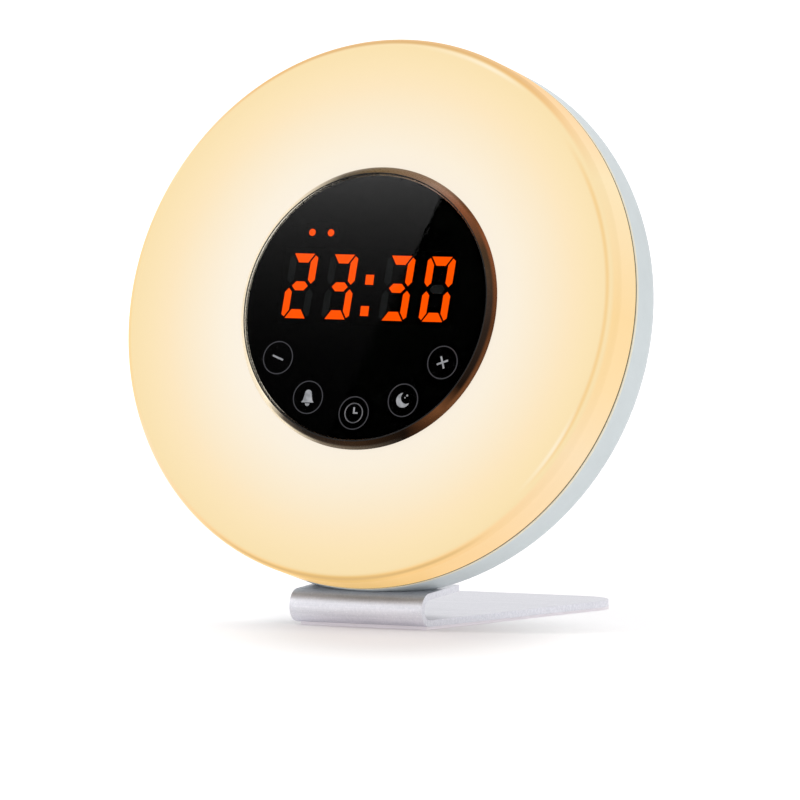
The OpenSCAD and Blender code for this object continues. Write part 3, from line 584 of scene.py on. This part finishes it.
def front_cover(materials):
    """The milky cover: a face with a hole for the panel, a rounded edge, a side and a tongue into the shell."""
    edge, wall = 2.8 * MM, 2.2 * MM
    tongue_r, tongue_wall, tongue_end = HEAD_R - wall - 0.1 * MM, 1.5 * MM, -2 * MM
    hole_r = PANEL_R - 3.5 * MM
    inside_z, inner_edge = FACE_Z - wall, 0.8 * MM
    seam = 0.45 * MM
    outline = [(HEAD_R, seam)]
    outline += arc((HEAD_R - edge, FACE_Z - edge), edge, 0, 90, 20)
    outline += [(hole_r, FACE_Z), (hole_r, inside_z)]
    outline += arc((HEAD_R - wall - inner_edge, inside_z - inner_edge), inner_edge, 90, 0, 6)
    outline += [(HEAD_R - wall, 3.2 * MM), (tongue_r - tongue_wall, 2.2 * MM), (tongue_r - tongue_wall, tongue_end),
                (tongue_r, tongue_end), (tongue_r, seam)]
    piece = lathe("front_cover", outline, 360)
    return place(piece, "clock", "diffuser", materials["diffuser"], "front_diffuser")


def bezel(materials):
    """The bronze ring: a short land, a sloping crown, and a thin edge round the glass."""
    land, fullness, flare = 0.15 * MM, 0.12 * MM, 0.25 * MM
    foot_of_slope, top_of_slope = Vector((PANEL_R + flare, FACE_Z + land)), Vector((GLASS_R + 0.06 * MM, GLASS_FRONT))
    along = top_of_slope - foot_of_slope
    swell = Vector((along.y, -along.x)).normalized() * fullness
    slope = [tuple(foot_of_slope + along * t + swell * 4 * t * (1 - t)) for t in (i / 12 for i in range(13))]
    barrel_r, barrel_wall, barrel_end = PANEL_R - 3.7 * MM, 1.4 * MM, 6.4 * MM
    seat_r = GLASS_R + 0.05 * MM
    ledge_r, ledge_z = GLASS_R - 0.7 * MM, GLASS_BACK - 0.3 * MM
    outline = [(barrel_r, barrel_end), (barrel_r, FACE_Z), (PANEL_R + flare, FACE_Z)] + slope
    outline += [(seat_r, GLASS_FRONT), (seat_r, GLASS_BACK), (ledge_r, GLASS_BACK), (ledge_r, ledge_z),
                (barrel_r - barrel_wall, ledge_z), (barrel_r - barrel_wall, barrel_end)]
    piece = lathe("bezel", outline, 256)
    return place(piece, "clock", "bezel", materials["bezel"], "bezel_ring")


def cover_glass(materials):
    """The flat glass with its front edge rounded."""
    gap, edge = 0.04 * MM, 0.25 * MM
    outline = [(0, GLASS_BACK + gap), (GLASS_R, GLASS_BACK + gap)]
    outline += arc((GLASS_R - edge, GLASS_FRONT - edge), edge, 0, 90, 5)
    outline += [(0, GLASS_FRONT)]
    piece = lathe("cover_glass", outline, 256)
    return place(piece, "clock", "glass", materials["glass"], "front_glass")


def foot_pad(materials):
    """The silicone pad under the plate, with its rim close to the plate's edge."""
    piece = merged_copy("desk_pad", "foot_pad")
    low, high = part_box("desk_pad")
    plate_low, plate_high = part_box("stand")
    cad_rim, rim = 3 * MM, 0.5 * MM
    centre = (Vector(low) + Vector(high)) / 2
    grow = [((plate_high[0] - plate_low[0]) / 2 - rim) / (high[0] - centre.x),
            1 + 2 * (cad_rim - rim) / (high[1] - low[1]), 1]
    for vertex in piece.data.vertices:
        vertex.co = Vector(c + (v - c) * g for c, v, g in zip(centre, vertex.co, grow))
    return place(piece, "clock", "pad", materials["pad"], "desk_pad")


def seam_ring(materials):
    """An olive ring in the seam, painted shade that darkens the fine line between the cover and the shell."""
    back, front = -0.24 * MM, 0.42 * MM
    outer, depth = HEAD_R - 0.05 * MM, 1.2 * MM
    outline = [(outer - depth, back), (outer, back), (outer, front), (outer - depth, front)]
    piece = lathe("seam_ring", outline, 360)
    return place(piece, "clock", "surround", materials["seam"])


def glass_gasket(materials):
    """The thin black seal between the glass and its ring."""
    inner, outer, rise = GLASS_R - 0.32 * MM, GLASS_R + 0.07 * MM, 0.03 * MM
    top = GLASS_FRONT + rise
    outline = [(inner, GLASS_FRONT), (outer, GLASS_FRONT - 0.1 * MM), (outer, top - rise / 2), (inner + rise, top)]
    piece = lathe("glass_gasket", outline, 256)
    return place(piece, "clock", "surround", materials["gasket"])


def foot(materials):
    """The folded sheet with its edges broken, as deburring leaves them."""
    piece = merged_copy("stand", "foot")
    bevel = piece.modifiers.new("broken_edges", "BEVEL")
    bevel.width = 0.35 * MM
    bevel.segments = 3
    bevel.limit_method = "ANGLE"
    bevel.angle_limit = math.radians(50)
    bevel.harden_normals = False
    apply_modifiers(piece)
    return place(piece, "clock", "foot", materials["foot"], "stand")


# ---- Signs on the back, drawn in millimetres as someone who looks at the back sees them ----

SIGN_RISE = 0.1 * MM
SIGN_INSET = 8.6             # from a key's middle in to its sign
SIGN_STROKE, PLUG_STROKE = 0.36, 0.32


def dot(centre, radius, steps=28):
    turn = [2 * math.pi * i / steps for i in range(steps)]
    return [(centre[0] + radius * math.cos(a), centre[1] + radius * math.sin(a)) for a in turn]


def bow(radius, width, start, end, steps=14):
    """A thick arc about the sign's middle, from one angle to the other in degrees."""
    return arc((0, 0), radius + width / 2, start, end, steps) + arc((0, 0), radius - width / 2, end, start, steps)


def bar(start, end, width):
    """A thick line with square ends."""
    along = (Vector(end) - Vector(start)).normalized()
    aside = Vector((-along.y, along.x)) * width / 2
    return [tuple(Vector(p) + side) for p, side in ((start, aside), (start, -aside), (end, -aside), (end, aside))]


def sun_sign():
    spokes = [Vector((math.cos(a), math.sin(a))) for a in (math.radians(45 * i) for i in range(8))]
    return [dot((0, 0), 0.85)] + [bar(spoke * 1.35, spoke * 2.15, SIGN_STROKE) for spoke in spokes]


def drop_sign():
    return [[(0, 2.2)] + arc((0, -0.5), 1.4, 152, 388, 26)]


def note_sign():
    flag = [(-0.38, 2), (1.3, 1.35), (1.3, 0.6), (-0.38, 1.25)]
    return [dot((-0.75, -1.3), 0.72), bar((-0.2, -1.3), (-0.2, 2), SIGN_STROKE), flag]


def waves_sign():
    bows = [bow(radius, SIGN_STROKE, middle - 38, middle + 38) for radius in (1.2, 2.0) for middle in (0, 180)]
    return bows + [dot((0, 0), 0.5), bar((0, -0.3), (0, -2.1), SIGN_STROKE)]


def plug_sign():
    """Centre pin live, sleeve earthed."""
    wires = [((-4.2, 0), (-1.5, 0)), ((0, 0), (4.2, 0))]
    minus_and_plus = [((-5.9, 0), (-4.9, 0)), ((4.9, 0), (5.9, 0)), ((5.4, -0.5), (5.4, 0.5))]
    bars = [bar(start, end, PLUG_STROKE) for start, end in wires + minus_and_plus]
    return bars + [dot((0, 0), 0.55), bow(1.5, PLUG_STROKE, 50, 310, 30)]


def raised_signs(name, signs, materials):
    """Signs that stand a little proud of the shell's flat back: pairs of outlines and their place on the head."""
    shape = bmesh.new()
    for outlines, (x, y) in signs:
        for outline in outlines:
            rings = []
            for z in (BACK_Z - SIGN_RISE, BACK_Z + SIGN_RISE):
                points = [TO_WORLD @ Vector((x * MM - u * MM, (y + v) * MM, z)) for u, v in outline]
                rings.append([shape.verts.new(point) for point in points])
            shape.faces.new(rings[0])
            shape.faces.new(rings[1][::-1])
            for i in range(len(outline)):
                j = (i + 1) % len(outline)
                shape.faces.new([rings[0][j], rings[0][i], rings[1][i], rings[1][j]])
    bmesh.ops.recalc_face_normals(shape, faces=shape.faces)
    piece = from_bmesh(name, shape, 30)
    return place(piece, "clock", "print", materials["signs"])


def middle_of(node):
    """The middle of a CAD node on the head, across and up, in mm."""
    low, high = span(node)
    return Vector(((low.x + high.x) / 2, (low.y + high.y) / 2)) / MM


def key_signs(materials):
    signs = []
    for node, draw in (("light_key", sun_sign), ("colour_key", drop_sign), ("music_key", note_sign),
                       ("radio_key", waves_sign)):
        middle = middle_of(node)
        signs.append((draw(), middle * (1 - SIGN_INSET / middle.length)))
    raised_signs("key_signs", signs, materials)


def jack_sign(materials):
    above = 4
    place_at = (middle_of("power_jack").x, span("power_jack")[1].y / MM + above)
    raised_signs("plug_sign", [(plug_sign(), place_at)], materials)


# ---- Grip of the battery cap ----


def spokes_tree(name, material):
    """Geometry Nodes that set short bars round a circle, each along its own radius."""
    tree = bpy.data.node_groups.new(name, "GeometryNodeTree")
    kinds = {"Count": "NodeSocketInt", "Radius": "NodeSocketFloat", "Bar": "NodeSocketVector",
             "Tilt": "NodeSocketVector", "Middle": "NodeSocketVector"}
    sockets = {label: tree.interface.new_socket(name=label, in_out="INPUT", socket_type=kind).identifier
               for label, kind in kinds.items()}
    tree.interface.new_socket(name="Geometry", in_out="OUTPUT", socket_type="NodeSocketGeometry")
    given = add(tree, "NodeGroupInput").outputs
    circle = add(tree, "GeometryNodeMeshCircle", {"Vertices": given["Count"], "Radius": given["Radius"]}).outputs[0]
    one_bar = add(tree, "GeometryNodeMeshCube", {"Size": given["Bar"]}).outputs[0]
    outwards = add(tree, "GeometryNodeInputPosition").outputs[0]
    turn = add(tree, "FunctionNodeAlignRotationToVector", {"Vector": outwards}, axis="X").outputs[0]
    bars = add(tree, "GeometryNodeInstanceOnPoints", {"Points": circle, "Instance": one_bar, "Rotation": turn})
    real = add(tree, "GeometryNodeRealizeInstances", {0: bars.outputs[0]}).outputs[0]
    moved = add(tree, "GeometryNodeTransform",
                {"Geometry": real, "Translation": given["Middle"], "Rotation": given["Tilt"]}).outputs[0]
    finished = add(tree, "GeometryNodeSetMaterial", {"Geometry": moved, "Material": material}).outputs[0]
    add(tree, "NodeGroupOutput", {0: finished})
    return tree, sockets


RIB_COUNT, RIB_CIRCLE = 36, 11.2 * MM
RIB_SIZE = (1.7 * MM, 0.5 * MM, 0.4 * MM)        # along the radius, across it, and through the cap's face


def cap_ribs(materials):
    """Fine ribs round the battery cap, which give a thumb some grip."""
    middle = middle_of("battery_cap") * MM
    tree, sockets = spokes_tree("ribs_round_cap", materials["housing"])
    piece = add_object("cap_ribs", bpy.data.meshes.new("cap_ribs"))
    ribs = piece.modifiers.new("ribs", "NODES")
    ribs.node_group = tree
    values = {"Count": RIB_COUNT, "Radius": RIB_CIRCLE, "Bar": RIB_SIZE, "Tilt": tuple(TO_WORLD.to_euler()),
              "Middle": tuple(TO_WORLD @ Vector((middle.x, middle.y, BACK_Z)))}
    for label, value in values.items():
        ribs[sockets[label]] = value
    apply_modifiers(piece)
    return place(piece, "cap", "housing", materials["housing"])


# ---- Studio ----

CAMERA_TURN = math.radians(28.09)
CAMERA_RISE = math.radians(3.38)
CAMERA_DISTANCE = 3.0
LENS, SENSOR = 439.0, 36        # in mm
AIM_RIGHT, AIM_DOWN = 3.82 * MM, 25.66 * MM
TOWARD = Vector((math.sin(CAMERA_TURN) * math.cos(CAMERA_RISE), -math.cos(CAMERA_TURN) * math.cos(CAMERA_RISE),
                 math.sin(CAMERA_RISE)))
RIGHT = Vector((math.cos(CAMERA_TURN), math.sin(CAMERA_TURN), 0))
EYE = HEAD + AIM_RIGHT * RIGHT - AIM_DOWN * TOWARD.cross(RIGHT) + CAMERA_DISTANCE * TOWARD


def camera():
    data = bpy.data.cameras.new("camera")
    data.lens, data.sensor_width = LENS, SENSOR
    data.clip_start, data.clip_end = 0.05, 50
    made = add_object("camera", data)
    made.rotation_mode = "QUATERNION"
    made.location = EYE
    made.rotation_quaternion = (-TOWARD).to_track_quat("-Z", "Y")
    bpy.context.scene.camera = made


def mirrored(x, y, away):
    """The place, that far in front of the head, which the glass shows at (x, y) from the main view."""
    on_glass = TO_WORLD @ Vector((x, y, GLASS_FRONT))
    ray = (on_glass - EYE).normalized()
    ray -= 2 * ray.dot(OUT) * OUT
    return on_glass + away / ray.dot(OUT) * ray


def card(name, rows, shades):
    """A studio card that the camera doesn't see: rows of points, each row with its own brightness."""
    shape = bmesh.new()
    layer = shape.verts.layers.float.new("shade")
    made_rows = [[shape.verts.new(point) for point in row] for row in rows]
    for row, shade in zip(made_rows, shades):
        for corner in row:
            corner[layer] = shade
    for row, following in zip(made_rows, made_rows[1:]):
        for i in range(len(row) - 1):
            shape.faces.new([row[i], row[i + 1], following[i + 1], following[i]])
    piece = from_bmesh(name, shape)
    piece.visible_camera = piece.visible_shadow = piece.visible_diffuse = False
    made = bpy.data.materials.new(name)
    made.use_nodes = True
    tree = made.node_tree
    tree.nodes.clear()
    shade = add(tree, "ShaderNodeAttribute", attribute_name="shade").outputs["Fac"]
    glow = add(tree, "ShaderNodeEmission", {"Color": shade})
    add(tree, "ShaderNodeOutputMaterial", {"Surface": glow.outputs[0]})
    piece.data.materials.append(made)


def glass_cards():
    """A black card that keeps the glass dark, and a graded one whose slanting edge crosses it."""
    reach, steps, least = 1.3 * GLASS_R, 24, 1 * MM
    heights = [reach * (1 - 2 * i / steps) for i in range(steps + 1)]
    widths = [math.sqrt(max(0.0, reach ** 2 - y ** 2)) + least for y in heights]
    card("black_card", [[mirrored(x, y, CARD_AWAY) for x in (-w, 0, w)] for y, w in zip(heights, widths)],
         [0] * len(heights))
    top, left = 1.1 * GLASS_R, -1.15 * GLASS_R
    heights = [top * (1 - 2 * i / steps) for i in range(steps + 1)]
    rows = [[mirrored(x, y, CARD_AWAY - CARD_GAP) for x in (left, SHEEN_EDGE_X + SHEEN_SLANT * y)] for y in heights]
    shades = [SHEEN_TOP * math.exp((y - GLASS_R) / SHEEN_FADE) for y in heights]
    card("graded_card", rows, shades)


def front_strip():
    """A bright strip low in front, which draws the light band along the foot's fold."""
    turns = [math.radians(turn) for turn in STRIP_TURNS]
    rows = [[STRIP_AWAY * Vector((math.sin(t), -math.cos(t), math.tan(math.radians(rise)))) for t in turns]
            for rise in STRIP_LIGHT]
    card("front_strip", rows, list(STRIP_LIGHT.values()))


CARD_AWAY, CARD_GAP = 0.7, 10 * MM
SHEEN_EDGE_X, SHEEN_SLANT = 8 * MM, 0.4         # the slanting edge, where it crosses the glass
SHEEN_TOP, SHEEN_FADE = 1.8, 16 * MM            # its brightness at the top, and how fast it fades
STRIP_AWAY, STRIP_TURNS = 1.2, range(-60, 1, 6)
STRIP_LIGHT = {16: 1, 20: 2.4, 26: 2.4, 34: 1}  # brightness by the rise in degrees


def world(strength):
    """An even pale room, white where the camera, gloss or glass looks into it."""
    made = bpy.data.worlds.new("pale_room")
    made.use_nodes = True
    tree = made.node_tree
    background = tree.nodes["Background"]
    background.inputs["Color"].default_value = (1, 1, 1, 1)
    path = add(tree, "ShaderNodeLightPath")
    seen = math_node(tree, "MAXIMUM", path.outputs["Is Camera Ray"], path.outputs["Is Glossy Ray"])
    seen = math_node(tree, "MAXIMUM", seen, path.outputs["Is Transmission Ray"])
    tree.links.new(remap(tree, seen, 0, 1, strength, 1, False), background.inputs["Strength"])
    bpy.context.scene.world = made


def softbox(name, place_at, size, power):
    data = bpy.data.lights.new(name, "AREA")
    data.shape = "DISK"
    data.size, data.energy = size, power
    made = add_object(name, data)
    made.location = place_at
    made.rotation_mode = "QUATERNION"
    made.rotation_quaternion = (Vector(HEAD) - Vector(place_at)).to_track_quat("-Z", "Y")


def floor():
    """A pale table that keeps the object's shadow and runs out of sight, white beyond the lamps' reach, with a painted
    pinkish shadow round and before the foot.
    """
    shape = bmesh.new()
    bmesh.ops.create_circle(shape, cap_ends=True, segments=96, radius=TABLE_R)
    piece = from_bmesh("table_top", shape)
    made, tree, shader = new_material("pale_table", Roughness=0.9, Specular_IOR_Level=0.1)
    where = object_coordinates(tree)
    grain = noise(tree, where, 30, 4)
    path = add(tree, "ShaderNodeLightPath").outputs
    tone = mix(tree, path["Is Camera Ray"], colour(246, 246, 247), colour(*FLOOR_TONE))
    wire(tree, shader, Base_Color=mix(tree, remap(tree, grain, 0.3, 0.7, 0, 0.04), tone, colour(200, 200, 202)))
    # Its own light fills what the lamps leave short of white, but less in a patch round and before the foot, which
    # paints a soft pinkish shadow there
    from_foot = add(tree, "ShaderNodeVectorMath", {0: where, 1: SHADOW_PATCH_CENTRE}, operation="SUBTRACT").outputs[0]
    across, beyond = (add(tree, "ShaderNodeVectorMath", {0: from_foot, 1: line}, operation="DOT_PRODUCT")
                      .outputs["Value"] for line in ((RIGHT.x, RIGHT.y, 0), (-RIGHT.y, RIGHT.x, 0)))
    lengthways = math_node(tree, "MAXIMUM", math_node(tree, "MULTIPLY", beyond, SHADOW_PATCH_DEPTH / SHADOW_PATCH_BEHIND),
                           math_node(tree, "MULTIPLY", beyond, -1))
    flat = add(tree, "ShaderNodeCombineXYZ", {0: math_node(tree, "DIVIDE", across, SHADOW_PATCH_WIDTH),
                                              1: math_node(tree, "DIVIDE", lengthways, SHADOW_PATCH_DEPTH)}).outputs[0]
    edge = add(tree, "ShaderNodeVectorMath", {0: flat}, operation="LENGTH").outputs["Value"]
    far = add(tree, "ShaderNodeVectorMath", {0: from_foot}, operation="LENGTH").outputs["Value"]
    lift = math_node(tree, "ADD", remap(tree, edge, 0.3, 1, SHADOW_PATCH_LIGHT, OPEN_LIGHT),
                     remap(tree, far, 0.25, 2.0, 0, FAR_LIGHT))
    tint = mix(tree, remap(tree, edge, 0.25, 0.6), SHADOW_PATCH_TINT, OPEN_TINT)
    wire(tree, shader, Emission_Color=tint)
    seen = math_node(tree, "MAXIMUM", path["Is Camera Ray"], path["Is Glossy Ray"])
    tree.links.new(math_node(tree, "MULTIPLY", seen, lift), shader.inputs["Emission Strength"])
    piece.data.materials.append(made)


TABLE_R = 14
FLOOR_TONE = (218, 216, 216)
# The painted shadow: a patch of less own light round and before the foot, with a pinkish tint
SHADOW_PATCH_CENTRE = (0.012, -0.052, 0)
SHADOW_PATCH_WIDTH, SHADOW_PATCH_DEPTH, SHADOW_PATCH_BEHIND = 0.074, 0.17, 0.06     # how far it reaches sideways, before and behind
SHADOW_PATCH_LIGHT, OPEN_LIGHT, FAR_LIGHT = 0.15, 0.42, 0.3
SHADOW_PATCH_TINT, OPEN_TINT = (1, 0.84, 0.86, 1), (1, 0.99, 1, 1)
ROOM_LIGHT = 0.75
SOFTBOXES = {           # place, diameter and power in watts
    "key": ((-0.9, -1.3, 1.9), 0.65, 14),
    "fill": ((1.5, -0.9, 0.9), 1.1, 3),
    "overhead": ((0.2, 0.7, 1.5), 1.0, 3),
}

# ---- The scene ----

bpy.context.scene.view_settings.view_transform = "Standard"
materials = slot_materials()
dress_nodes(materials)
camera()
world(ROOM_LIGHT)
for name, (place_at, size, power) in SOFTBOXES.items():
    softbox(name, place_at, size, power)
floor()
glass_cards()
front_strip()
for make in (front_cover, bezel, cover_glass, glass_gasket, seam_ring, foot_pad, foot, key_signs, jack_sign, cap_ribs):
    make(materials)
